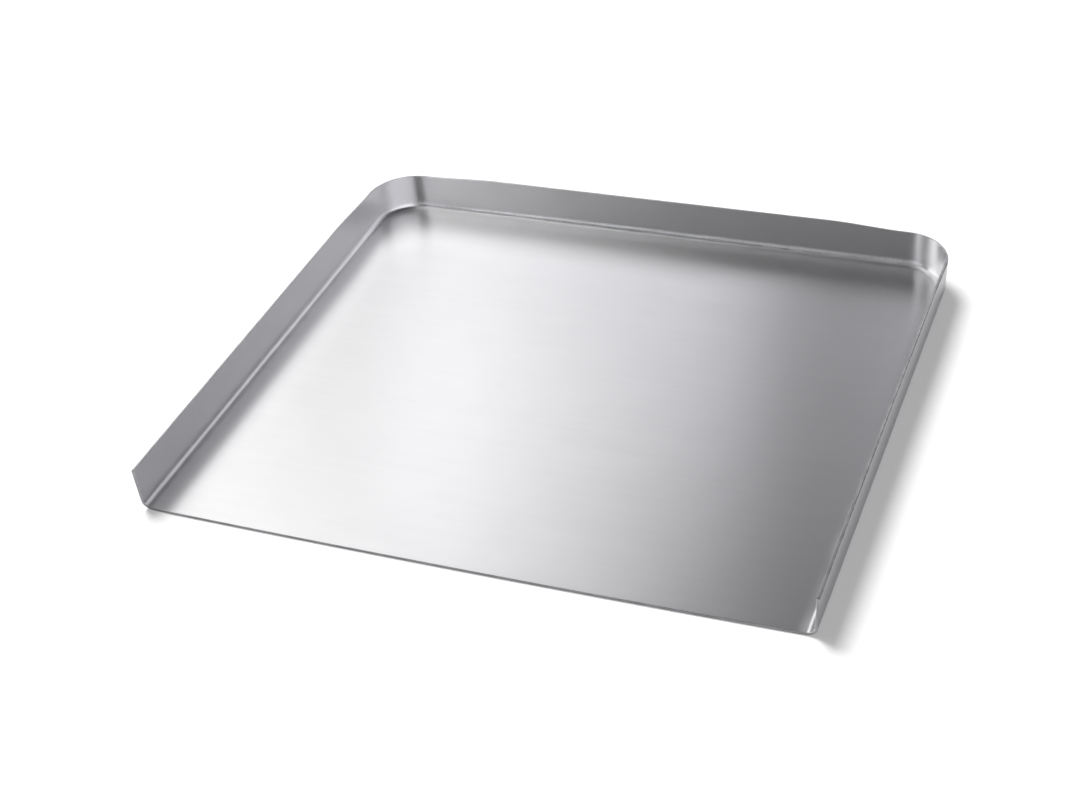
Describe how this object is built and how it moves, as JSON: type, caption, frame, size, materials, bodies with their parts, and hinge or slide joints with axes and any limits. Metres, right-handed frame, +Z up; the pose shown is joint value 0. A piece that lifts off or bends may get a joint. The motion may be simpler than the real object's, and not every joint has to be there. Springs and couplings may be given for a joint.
{
  "type": "cookie sheet",
  "caption": "Flat rectangular baking sheet of thick bare aluminium with low upright walls at the back and sides, rounded back corners and an open front edge.",
  "frame": {"origin": "on the table, under the centre of the sheet's bounding box", "axes": "+X along the open front edge, +Y from the open front to the back wall, +Z up"},
  "size_m": [0.4064, 0.3572, 0.0286],
  "materials": {
    "satin_aluminium": "bare satin rolled sheet, fine grain, sheared edges rubbed smooth"
  },
  "bodies": {
    "root": {"cookie_sheet": "satin_aluminium"}
  },
  "joints": []
}
